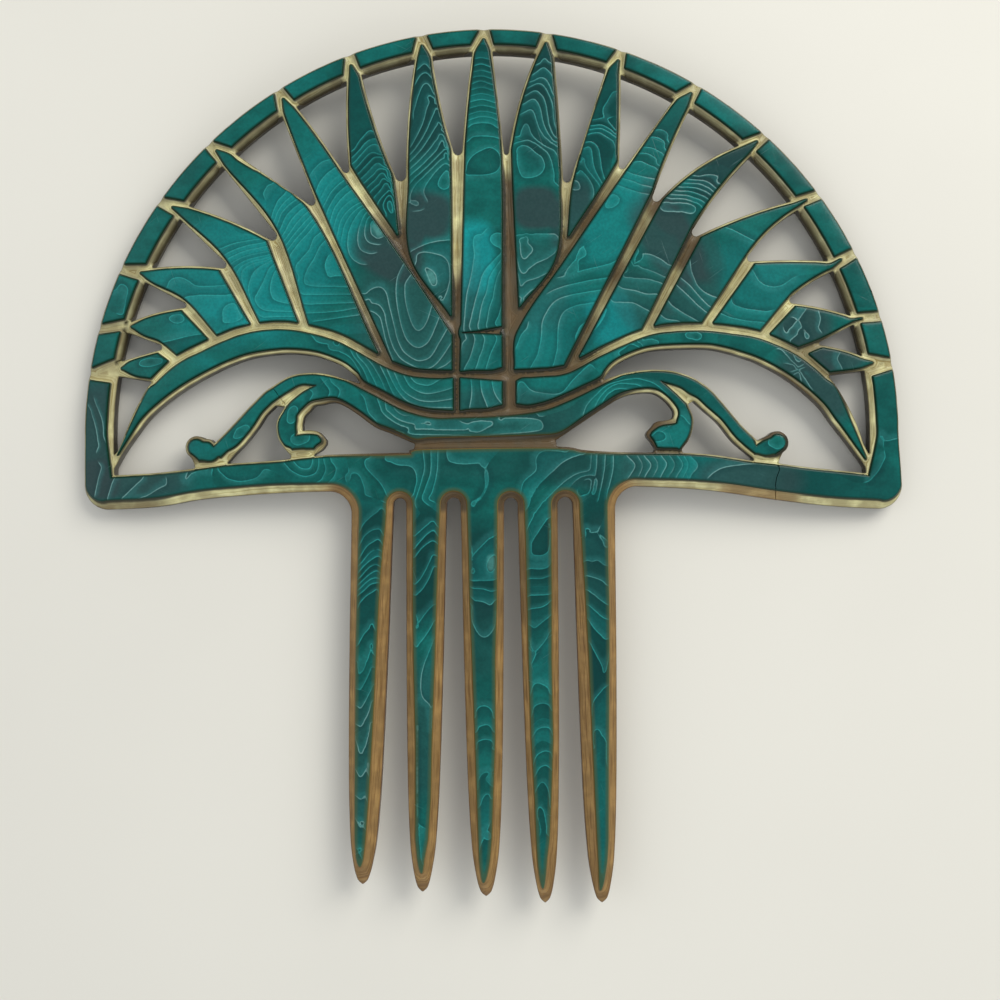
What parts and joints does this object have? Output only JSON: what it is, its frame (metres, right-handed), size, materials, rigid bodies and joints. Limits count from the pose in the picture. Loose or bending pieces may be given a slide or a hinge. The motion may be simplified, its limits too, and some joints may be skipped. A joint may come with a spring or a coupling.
{
  "type": "peineta comb",
  "caption": "Fan-shaped ornamental hair comb of pierced and carved celluloid: teal faces on an amber sheet, rays over a band and scrolls, and long teeth.",
  "frame": {"origin": "centre of the comb's box at floor level, with the comb lying face up on its two side edges", "axes": "+X to the right across the rim, +Y from the teeth up to the top of the crown, +Z out of the carved face"},
  "size_m": [0.1434, 0.151, 0.0075],
  "materials": {
    "amber": "polished translucent amber celluloid",
    "teal": "polished teal celluloid with pale contour lines"
  },
  "bodies": {
    "root": {"comb_sheet": "amber", "bar_face": "teal", "scroll_face": "teal", "band_face_left": "teal", "band_face_middle": "teal", "band_face_right": "teal", "ray_face_1": "teal", "ray_face_2": "teal", "ray_face_3": "teal", "ray_face_4": "teal", "ray_face_5": "teal", "ray_face_6": "teal", "ray_face_7": "teal", "ray_face_8": "teal", "ray_face_9": "teal", "ray_face_10": "teal", "ray_face_11": "teal", "ray_face_12": "teal", "ray_face_13": "teal", "ray_face_14": "teal", "ray_face_15": "teal", "ray_face_16": "teal", "ray_face_17": "teal", "rim_panel_1": "teal", "rim_panel_2": "teal", "rim_panel_3": "teal", "rim_panel_4": "teal", "rim_panel_5": "teal", "rim_panel_6": "teal", "rim_panel_7": "teal", "rim_panel_8": "teal", "rim_panel_9": "teal", "rim_panel_10": "teal", "rim_panel_11": "teal", "rim_panel_12": "teal", "rim_panel_13": "teal", "rim_panel_14": "teal", "rim_panel_15": "teal", "rim_panel_16": "teal"}
  },
  "joints": []
}
